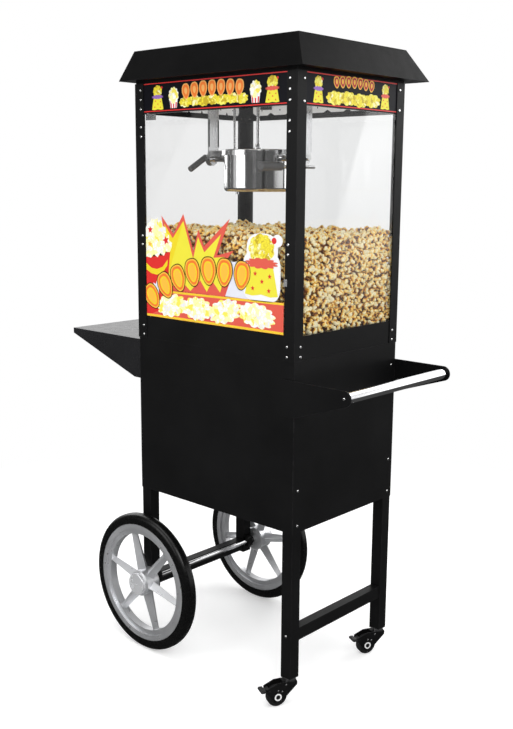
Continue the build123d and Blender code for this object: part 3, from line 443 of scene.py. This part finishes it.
def header_panel(name, origin, right, out, half, tub_at, carton_at, clumps, tokens):
    """Header artwork: black ground, red rules, corn clumps and a row of bright kernels.

    clumps is (first, last, how many, radius). tokens, the kernels, is (first, last, width, height,
    middle height, edge ink, face ink).
    """
    panel = Panel(name, "frame", origin, right, out)
    panel.shape([(-half, SIGN_LOW), (half, SIGN_LOW), (half, SIGN_HIGH), (-half, SIGN_HIGH)], "black", 0)
    rule = 2.3
    for low in (1385.4, 1449.6):
        panel.shape([(-half, low), (half, low), (half, low + rule), (-half, low + rule)], "red", 1)
    for at, ruffle in zip(tub_at, ("violet", "coral")):
        tub(panel, at, 1389, 1446, 42 if half > 200 else 36, 1, ruffle)
    for at in carton_at:
        carton(panel, at, 1391, 1436, 30, 1)
    start, end, count, size = clumps
    for i in range(count):
        at = start + (end - start) * i / (count - 1)
        clump = ring(at, 1403 + 2 * (i % 2), size, min(13, size * 0.6), 48, 9, 0.22)
        panel.shape(clump, "yellow_corn", 1 + i % 2)
    start, end, wide, high, base, edge, face = tokens
    for i in range(7):
        at = start + (end - start) * i / 6
        lift = base + 3.5 * math.sin(math.pi * i / 6)
        panel.shape(kernel_outline(at, lift, wide, high, 8 - 2.5 * i, 2.0), edge, 3)
        panel.shape(kernel_outline(at, lift, wide, high, 8 - 2.5 * i, -0.6), face, 4)
        panel.shape(kernel_outline(at, lift + 1, wide * 0.45, high * 0.5, 8 - 2.5 * i), edge, 5)
    return panel.build()


header_panel("header_art_front", (MIDDLE_X, -SKIN_Y, 0), (1, 0, 0), (0, -1, 0), 229.5,
             (-180, 187), (-124, 138), (-84, 96, 7, 17), (-82, 90, 22, 32, 1427, "tan", "orange"))
header_panel("header_art_right", (MIDDLE_X + SKIN_X, 0, 0), (0, 1, 0), (1, 0, 0), 167.5,
             (-127, 121), (), (-68, 70, 4, 27), (-64, 66, 17, 22, 1437, "gold", "deep"))
header_panel("header_art_left", (MIDDLE_X - SKIN_X, 0, 0), (0, -1, 0), (-1, 0, 0), 167.5,
             (-127, 121), (), (-68, 70, 4, 27), (-64, 66, 17, 22, 1437, "gold", "deep"))


def door_print():
    """Sticker on the glass door: carton, starburst, arched row of kernels, tub and a corn border."""
    panel = Panel("door_print", "front_door", (MIDDLE_X, -SKIN_Y - 0.0005, 0), (1, 0, 0), (0, -1, 0))
    panel.shape([(30, 1043), (122, 1038), (120, 958), (10, 960)], "lilac", 0)
    burst = [(-171, 1139), (-128, 1096), (-93, 1145), (-59, 1057), (-42, 1110), (-23, 1071), (61, 1138),
             (20, 1052), (74, 1066), (46, 1040), (70, 1012), (46, 958), (-140, 958), (-150, 1040)]
    panel.shape(burst, "coral", 1)
    core = [(-161, 1120), (-131, 1085), (-93, 1128), (-60, 1040), (-43, 1092), (-22, 1057), (33, 1102),
            (8, 1046), (45, 1050), (26, 1032), (46, 1006), (30, 966), (4, 992), (-14, 964), (-36, 990),
            (-70, 962), (-104, 986), (-146, 962), (-146, 1052)]
    panel.shape(core, "lemon", 2)
    panel.shape([(-146, 1000), (-93, 1128), (-131, 1085), (-161, 1120), (-146, 1052)], "yellow", 3)
    panel.shape([(-228, 1034), (-213, 1041), (-200, 1036), (-186, 1044), (-172, 1040), (-158, 1048),
                 (-140, 1053), (-147, 1000), (-168, 950), (-172, 887.5), (-228, 887.5)], "red", 4)
    smile = [(-228, 1020), (-209, 1009), (-189, 1007), (-168, 1014), (-149, 1033),
             (-151, 1018), (-168, 1000), (-189, 993), (-209, 995), (-228, 1004)]
    panel.shape(smile, "yellow", 5)
    heap = [(-228, 1108), (-221, 1118), (-212, 1122), (-207, 1131), (-196, 1130), (-188, 1136), (-179, 1128),
            (-170, 1126), (-167, 1114), (-156, 1110), (-154, 1098), (-144, 1092), (-143, 1080), (-133, 1074),
            (-135, 1062), (-142, 1051), (-156, 1052), (-163, 1041), (-176, 1047), (-186, 1036),
            (-199, 1043), (-210, 1034), (-228, 1036)]
    panel.shape(heap, "corn", 5)
    panel.shape(star(-212, 1103, 10), "red", 6)
    panel.shape(star(-155, 1079, 12, turn=15), "red", 6)
    panel.shape(star(-214, 1068, 8, turn=-10), "gold", 6)
    panel.shape(star(-190, 962, 17, 7, 0.5), "lilac", 5)
    panel.shape([(-228, 887.5), (227, 887.5), (227, 959), (-132, 957), (-176, 930), (-180, 905)], "coral", 5)
    panel.shape([(-132, 951), (227, 953.5), (227, 959), (-132, 956.5)], "gold", 6)
    panel.shape([(-132, 952.6), (227, 955), (227, 957), (-132, 954.6)], "yellow", 7)
    panel.shape([(-228, 887.5), (227, 887.5), (227, 893.5), (-228, 893.5)], "gold", 6)
    panel.shape([(-228, 889.5), (227, 889.5), (227, 891.5), (-228, 891.5)], "yellow", 7)
    clusters = ((-136, 921, 47, 8), (-46, 921, 44, 0), (45, 923, 47, 14), (146, 923, 49, -6))
    for number, (at, z, wide, turn) in enumerate(clusters):
        panel.shape(ring(at, z, wide, 24, 64, 13, 0.22, turn), "corn", 7 + number % 2)
    arch = ((-207, 938, 38), (-158, 969, 30), (-112, 990, 21), (-61, 1007, 13), (-8, 1014, 4),
            (45, 1014, -4), (100, 1011, -8))
    rings = (("black", 3.5), ("gold", 1.5), ("orange", -2), ("yellow", -8), ("gold", -11.5))
    for number, (at, z, turn) in enumerate(arch):
        for layer, (colour, grow) in enumerate(rings):
            panel.shape(kernel_outline(at, z, 46, 62, turn, grow), colour, 9 + layer + 5 * (number % 2))
    panel.shape(ring(160, 1012, 57, 56, 60, 0, 0, 0, 4.0), "white", 6)
    panel.shape(ring(162, 1073, 47, 36, 60, 0, 0, 0, 2.6), "white", 7)
    panel.shape(ring(207, 1094, 15, 14, 30), "white", 8)
    tub(panel, 160, 968, 1108, 104, 9, "coral")
    return panel.build()


door_print()


# ---- white liners inside the header

def liner(name, axis, at, half, low=1396, high=1446):
    """White strip with a row of vent holes, standing just inside one header sheet."""
    thick, hole, count = 0.8, 2.2, 7
    gap = 2 * half / count
    vertices, faces = [], []

    def corner(a, z, d):
        place = (a * MM, (at + d) * MM) if axis == "y" else ((at + d) * MM, a * MM)
        vertices.append((place[0] + MIDDLE_X, place[1], z * MM))
        return len(vertices) - 1

    middle = (low + high) / 2 - 12    # height of the holes
    rim = 16
    for i in range(count):
        left, right = -half + gap * i, -half + gap * (i + 1)
        centre = (left + right) / 2
        outer, inner = [], []
        for k in range(rim):
            t = 2 * math.pi * (k + 0.5) / rim
            c, s = math.cos(t), math.sin(t)
            reach = min(gap / 2 / max(1e-6, abs(c)), ((high if s > 0 else low) - middle) / (s or 1e-6))
            square = (max(left, min(right, centre + c * reach)), max(low, min(high, middle + s * reach)))
            outer.append([corner(*square, d) for d in (0, thick)])
            inner.append([corner(centre + c * hole, middle + s * hole, d) for d in (0, thick)])
        for k in range(rim):
            n = (k + 1) % rim
            faces += [(outer[k][0], outer[n][0], inner[n][0], inner[k][0]),
                      (outer[n][1], outer[k][1], inner[k][1], inner[n][1]),
                      (inner[k][0], inner[n][0], inner[n][1], inner[k][1]),
                      (outer[n][0], outer[k][0], outer[k][1], outer[n][1])]
    return piece(name, "frame", vertices, faces, [WHITE_LINER])


liner("liner_rear", "y", 190, 224)
liner("liner_front", "y", -192.5, 224)
liner("liner_right", "x", 252.5, 164)
liner("liner_left", "x", -253.3, 164)


# ---- dark edge trims on the kettle's hangers

def blocks(name, body, boxes, material):
    """Plain rectangular strips as one piece; each is (x, y, z) ranges in millimetres off the middle."""
    vertices, faces = [], []
    for xs, ys, zs in boxes:
        first = len(vertices)
        vertices += [(x * MM + MIDDLE_X, y * MM, z * MM) for x in xs for y in ys for z in zs]
        for face in ((0, 1, 3, 2), (4, 6, 7, 5), (0, 4, 5, 1), (2, 3, 7, 6), (0, 2, 6, 4), (1, 5, 7, 3)):
            faces.append([first + i for i in face])
    return piece(name, body, vertices, faces, [material])


blocks("hanger_trims", "frame",
       [((x, x + 0.8), ys, (1306, 1372)) for x in (-149.9, 149.1) for ys in ((-54, -51), (-21, -18))],
       BLACK_PLASTIC)


# ---- rivets and dust rings on the caster forks

CHEEK = 12.7             # outside of a fork cheek from the caster's middle plane
CASTER_TURN = math.radians(244)
SMALL_RIVET = ((2.2, 0), (2.2, 0.5), (1.2, 1.0))    # (radius, height off the cheek) in millimetres
DUST_RING = ((5.6, 0), (9.0, 0), (9.0, 0.7), (8.2, 1.1), (6.2, 1.1), (5.6, 0.7))


def caster_trim(name, body, king):
    """Dust ring round the wheel's rivet and small rivets, on both cheeks of the fork under one king pin."""
    vertices, faces, picks = [], [], []
    count = 28
    ahead_x, ahead_y = math.cos(CASTER_TURN), math.sin(CASTER_TURN)
    trims = ((DUST_RING, 34, 25, 0), (SMALL_RIVET, 24, 38, 1), (SMALL_RIVET, 34, 41, 1),
             (SMALL_RIVET, 2, 54, 1), (SMALL_RIVET, 14, 53, 1))
    for side in (-1, 1):
        for profile, x, z, pick in trims:
            closed = profile is DUST_RING
            first, rows, before = len(vertices), len(profile), len(faces)
            for k in range(count):
                t = side * 2 * math.pi * k / count
                for r, h in profile:
                    along, out = x + r * math.cos(t), side * (CHEEK + h)
                    vertices.append((king[0] + (along * ahead_x - out * ahead_y) * MM,
                                     king[1] + (along * ahead_y + out * ahead_x) * MM,
                                     (z + r * math.sin(t)) * MM))
            for k in range(count):
                here, there = first + k * rows, first + (k + 1) % count * rows
                for row in range(rows if closed else rows - 1):
                    ahead = (row + 1) % rows
                    faces.append((here + row, here + ahead, there + ahead, there + row))
            if not closed:
                faces.append([first + k * rows for k in range(count)])
                faces.append([first + k * rows + rows - 1 for k in reversed(range(count))])
            picks += [pick] * (len(faces) - before)
    piece(name, body, vertices, faces, [CASTER_RING, SCREW], picks)


caster_trim("front_caster_trim", "front_caster_fork", (0.3037, -0.1787))
caster_trim("rear_caster_trim", "rear_caster_fork", (0.3037, 0.1787))


# ---- popcorn

HEAP_TOP, HEAP_LOW = 1.103, 0.884
HEAP_X, HEAP_Y = 0.2525, (-0.188, 0.189)
HINGE, HINGE_CLEAR = (-0.221, -0.1895), 0.025    # the glass door's pivot, and the room its edge swings in


def heap_height(x, y):
    """Height of the popcorn at a place measured from the cabinet's middle."""
    return (HEAP_TOP + 0.007 * math.sin(17 * x + 1.2) * math.cos(13 * y) + 0.004 * math.sin(41 * x + 29 * y)
            - 0.25 * max(0.0, y - 0.14))


def unit_ball():
    """Vertices and faces of a finely divided ball of radius 1."""
    form = bmesh.new()
    bmesh.ops.create_icosphere(form, subdivisions=3, radius=1)
    points = np.array([v.co[:] for v in form.verts])
    faces = np.array([[v.index for v in f.verts] for f in form.faces])
    form.free()
    return points / np.linalg.norm(points, axis=1)[:, None], faces


def popped_shapes(ball, count=14):
    """Different popped kernels, each with how far out of its folds every vertex stands, which darkens the
    folds with hull brown and painted shade.
    """
    shapes = []
    for _ in range(count):
        lobes = rng.normal(size=(rng.integers(5, 8), 3))
        lobes /= np.linalg.norm(lobes, axis=1)[:, None]
        reach = np.full(len(ball), 0.40)
        for lobe in lobes:
            centre, radius = lobe * rng.uniform(0.45, 0.62), rng.uniform(0.34, 0.52)
            along = ball @ centre
            inside = along ** 2 - (centre @ centre - radius ** 2)
            hit = (inside > 0) & (along > 0)
            reach[hit] = np.maximum(reach[hit], along[hit] + np.sqrt(inside[hit]))
        reach *= 1 + 0.05 * np.sin(ball @ rng.normal(size=3) * 9)
        shapes.append((ball * reach[:, None], np.clip((reach - 0.42) / 0.48, 0, 1)))
    return shapes


def random_turn():
    """Rotation matrix of a random orientation."""
    q = rng.normal(size=4)
    w, x, y, z = q / np.linalg.norm(q)
    return np.array([[1 - 2 * (y * y + z * z), 2 * (x * y - z * w), 2 * (x * z + y * w)],
                     [2 * (x * y + z * w), 1 - 2 * (x * x + z * z), 2 * (y * z - x * w)],
                     [2 * (x * z - y * w), 2 * (y * z + x * w), 1 - 2 * (x * x + y * y)]])


def popcorn_piece(name, places, shapes, ball_faces, limits):
    """One mesh of popped kernels at the given places, kept inside the cabinet's walls."""
    points, faces, hull_and_shade_values, batches = [], [], [], []
    for number, place in enumerate(places):
        form, hull_and_shade = shapes[rng.integers(len(shapes))]
        size = rng.uniform(0.0082, 0.0115)
        points.append(form @ random_turn().T * size + place)
        faces.append(ball_faces + number * len(form))
        hull_and_shade_values.append(hull_and_shade)
        batches.append(np.full(len(form), rng.normal(0, 0.13)))
    points = np.clip(np.vstack(points), limits[0], limits[1])
    made = piece(name, "frame", points.tolist(), np.vstack(faces).tolist(), [POPCORN],
                 smooth=True)
    for field, values in (("hull_and_shade", hull_and_shade_values), ("batch", batches)):
        layer = made.data.attributes.new(field, "FLOAT", "POINT")
        layer.data.foreach_set("value", np.concatenate(values).astype(np.float32))
    return made


def wall_places(fixed_axis, fixed, span, step):
    """Jittered rows of kernels against one wall, up to the heap's surface."""
    places = []
    rows = int((HEAP_TOP + 0.01 - HEAP_LOW) / (step * 0.9))
    for row in range(rows + 1):
        z = HEAP_LOW + 0.006 + row * step * 0.9
        shift = step / 2 * (row % 2)
        count = int((span[1] - span[0]) / step)
        for col in range(count + 1):
            along = span[0] + shift + col * step + rng.normal(0, step * 0.16)
            x, y = (fixed, along) if fixed_axis == "x" else (along, fixed)
            if abs(x) > HEAP_X or not HEAP_Y[0] < y < HEAP_Y[1] or z > heap_height(x, y) - 0.004:
                continue
            if math.dist((x, y), HINGE) < HINGE_CLEAR:
                continue
            deep = abs(rng.normal(0, 0.002))
            x -= math.copysign(deep, x) if fixed_axis == "x" else 0
            y -= math.copysign(deep, y) if fixed_axis == "y" else 0
            places.append((x + MIDDLE_X, y, z + rng.normal(0, step * 0.12)))
    return places


def top_places(step):
    """Jittered grid of kernels over the heap's surface."""
    places = []
    for i in range(int(2 * HEAP_X / step)):
        for j in range(int((HEAP_Y[1] - HEAP_Y[0]) / step)):
            x = -HEAP_X + 0.008 + i * step + step / 2 * (j % 2) + rng.normal(0, step * 0.2)
            y = HEAP_Y[0] + 0.008 + j * step + rng.normal(0, step * 0.2)
            inside = abs(x) < HEAP_X - 0.006 and HEAP_Y[0] + 0.006 < y < HEAP_Y[1] - 0.006
            if inside and math.dist((x, y), HINGE) > HINGE_CLEAR:
                places.append((x + MIDDLE_X, y, heap_height(x, y) - 0.003 + rng.normal(0, 0.0035)))
    return places


def heap_shadow_core(inset=0.018):
    """Dark golden body of the heap, just behind the loose kernels, as painted shade seen in the gaps between
    them.
    """
    nx, ny = 30, 22
    xs = np.linspace(-HEAP_X + inset, HEAP_X - inset, nx)
    ys = np.linspace(HEAP_Y[0] + inset, HEAP_Y[1] - inset, ny)
    points = [(x + MIDDLE_X, y, heap_height(x, y) - inset) for x in xs for y in ys]
    points += [(x + MIDDLE_X, y, HEAP_LOW + 0.001) for x in xs for y in ys]
    low = nx * ny
    faces = []
    for i in range(nx - 1):
        for j in range(ny - 1):
            a, b, c, d = i * ny + j, (i + 1) * ny + j, (i + 1) * ny + j + 1, i * ny + j + 1
            faces += [(a, b, c, d), (low + d, low + c, low + b, low + a)]
    rim = [i * ny for i in range(nx)] + [(nx - 1) * ny + j for j in range(1, ny)]
    rim += [i * ny + ny - 1 for i in range(nx - 2, -1, -1)] + list(range(ny - 2, 0, -1))
    for a, b in zip(rim, rim[1:] + rim[:1]):
        faces.append((b, a, low + a, low + b))
    made = piece("popcorn_shadow_core", "frame", points, faces, [POPCORN], smooth=True)
    layer = made.data.attributes.new("hull_and_shade", "FLOAT", "POINT")
    # A low value in the ramp colours the core as painted shade.
    layer.data.foreach_set("value", np.full(len(points), 0.2, dtype=np.float32))
    return made


def build_popcorn(step=0.0145, most=560):
    """Kernels step apart, in pieces of at most so many kernels each."""
    ball, ball_faces = unit_ball()
    shapes = popped_shapes(ball)
    limits = ((MIDDLE_X - HEAP_X, HEAP_Y[0] - 0.002, HEAP_LOW), (MIDDLE_X + HEAP_X, HEAP_Y[1] + 0.001, 1.14))
    for name, places in (
            ("popcorn_front", wall_places("y", HEAP_Y[0] + 0.007, (-HEAP_X, HEAP_X), step)),
            ("popcorn_back", wall_places("y", HEAP_Y[1] - 0.007, (-HEAP_X, HEAP_X), step)),
            ("popcorn_right", wall_places("x", HEAP_X - 0.007, HEAP_Y, step)),
            ("popcorn_left", wall_places("x", -HEAP_X + 0.007, HEAP_Y, step)),
            ("popcorn_top", top_places(step))):
        for start in range(0, len(places), most):
            batch = places[start:start + most]
            popcorn_piece(f"{name}_{start // most + 1}", batch, shapes, ball_faces, limits)
    heap_shadow_core()


build_popcorn()


# ---- floor, light and camera

def make_floor():
    """Pale paper that takes the cart's shadow and fades to plain white further out."""
    mesh = bpy.data.meshes.new("floor")
    reach = 40
    mesh.from_pydata([(-reach, -reach, 0), (reach, -reach, 0), (reach, reach, 0), (-reach, reach, 0)], [],
                     [(0, 1, 2, 3)])
    material, tree = fresh("floor_paper")
    cloud = spread(tree, noise(tree, 1.5, 3), 0.3, 0.7)
    tone = mix(tree, cloud, rgb(0.84, 0.84, 0.84), rgb(0.87, 0.87, 0.87))
    paper = add(tree, "BsdfPrincipled", {"Base Color": tone, "Roughness": 0.9, "Specular IOR Level": 0.1,
                                         "Emission Color": rgb(1, 1, 1), "Emission Strength": 0.35})
    glow = add(tree, "Emission", {"Color": rgb(1, 1, 1), "Strength": 1.0})
    away = add(tree, "VectorMath", {0: add(tree, "TexCoord", out="Object")}, out="Value", operation="LENGTH")
    add_output(tree, add(tree, "MixShader", {0: spread(tree, away, 0.7, 1.9), 1: paper, 2: glow}))
    mesh.materials.append(material)
    floor = bpy.data.objects.new("floor", mesh)
    scene.collection.objects.link(floor)
    floor.visible_glossy = False


def mirrored_ray(place, axis):
    """Direction a pane across this axis sends the camera's line of sight to the place."""
    ray = (Vector(place) - EYE).normalized()
    ray[axis] = -ray[axis]
    return ray


def pane_box(tree, look, top, foot, inside, axis, strength):
    """Studio panel whose straight edge mirrors in a pane from top to foot; inside is on its lit side."""
    edge = mirrored_ray(top, axis).cross(mirrored_ray(foot, axis)).normalized()
    middle = mirrored_ray(inside, axis)
    edge = edge if edge.dot(middle) > 0 else -edge
    side = add(tree, "VectorMath", {0: look, 1: edge}, out="Value", operation="DOT_PRODUCT")
    near = add(tree, "VectorMath", {0: look, 1: middle}, out="Value", operation="DOT_PRODUCT")
    return product(tree, spread(tree, side, 0.0, 0.004), spread(tree, near, 0.93, 0.985, 0.0, strength))


def make_world():
    """White to the eye, and a studio of broad soft panels to the surfaces it lights."""
    world = bpy.data.worlds.new("studio")
    scene.world = world
    world.use_nodes = True
    tree = world.node_tree
    tree.nodes.clear()
    look = add(tree, "TexCoord", out="Generated")
    right_pane = (0.316, 0.0385, 1.3588), (0.316, -0.0632, 1.1113), (0.316, 0.07, 1.26)
    front_pane = (-0.0208, -0.194, 1.3592), (-0.1726, -0.194, 1.1362), (0.05, -0.194, 1.24)
    parts = [pane_box(tree, look, *right_pane, 0, 2.1), pane_box(tree, look, *front_pane, 1, 0.6)]
    boxes = (((0.75, 0.62, 0.30), 0.80, 0.95, 0.9), ((0.50, -0.70, 0.60), 0.90, 0.97, 0.9),
             ((-0.95, 0.15, 0.2), 0.84, 0.95, 0.55), ((-0.35, -0.9, 0.40), 0.93, 0.98, 0.6),
             ((0.0, 0.0, 1.0), 0.60, 0.9, 0.8), ((-0.5, 0.85, 0.15), 0.85, 0.95, 1.1))
    for way, low, high, strength in boxes:
        near = add(tree, "VectorMath", {0: look, 1: Vector(way).normalized()}, out="Value",
                   operation="DOT_PRODUCT")
        parts.append(spread(tree, near, low, high, 0.0, strength))
    level = parts[0]
    for part in parts[1:]:
        level = add(tree, "Math", {0: level, 1: part})
    up = add(tree, "SeparateXYZ", {0: look}, out=2)
    level = product(tree, level, spread(tree, up, -0.16, 0.02))
    level = add(tree, "Math", {0: level, 1: 0.06})
    studio = add(tree, "Background", {"Color": rgb(1, 1, 1), "Strength": level})
    paper = add(tree, "Background", {"Color": rgb(1, 1, 1), "Strength": 1.0})
    camera_ray = add(tree, "LightPath", out="Is Camera Ray")
    both = add(tree, "MixShader", {0: camera_ray, 1: studio, 2: paper})
    tree.links.new(both, tree.nodes.new("ShaderNodeOutputWorld").inputs["Surface"])


def area_light(name, place, target, width, height, watts):
    data = bpy.data.lights.new(name, "AREA")
    data.shape = "RECTANGLE"
    data.size, data.size_y, data.energy = width, height, watts
    light = bpy.data.objects.new(name, data)
    light.location = place
    light.rotation_mode = "QUATERNION"
    light.rotation_quaternion = (Vector(target) - Vector(place)).to_track_quat("-Z", "Y")
    light.visible_camera = False
    scene.collection.objects.link(light)


def make_lights():
    area_light("key", (2.6, -1.4, 2.9), (0.0, 0.0, 0.8), 1.8, 1.8, 45)
    area_light("front_fill", (-0.9, -3.2, 1.9), (0.0, 0.0, 0.9), 2.0, 2.4, 32)
    area_light("left_fill", (-3.0, 0.6, 2.2), (0.0, 0.0, 0.8), 1.8, 2.2, 25)
    area_light("back", (0.6, 3.2, 2.4), (0.0, 0.0, 0.9), 2.2, 2.0, 40)
    area_light("top", (0.0, -0.4, 3.8), (0.0, 0.0, 1.0), 2.4, 2.4, 40)


def make_camera():
    """Eye-level three-quarter view from the right of the front."""
    turn, tilt, roll = math.radians(42.33), math.radians(10.75), math.radians(0.4)
    forward = Vector((-math.sin(turn) * math.cos(tilt), math.cos(turn) * math.cos(tilt), -math.sin(tilt)))
    right = Vector((math.cos(turn), math.sin(turn), 0))
    up = right.cross(forward)
    right, up = right * math.cos(roll) + up * math.sin(roll), up * math.cos(roll) - right * math.sin(roll)
    data = bpy.data.cameras.new("camera")
    data.lens, data.sensor_width, data.sensor_fit = 47.8, 36, "AUTO"
    data.clip_start, data.clip_end = 0.05, 200
    camera = bpy.data.objects.new("camera", data)
    camera.matrix_world = Matrix.Translation(EYE) @ Matrix(
        (right, up, -forward)).transposed().to_4x4()
    scene.collection.objects.link(camera)
    scene.camera = camera


make_floor()
make_world()
make_lights()
make_camera()
scene.view_settings.view_transform = "Standard"
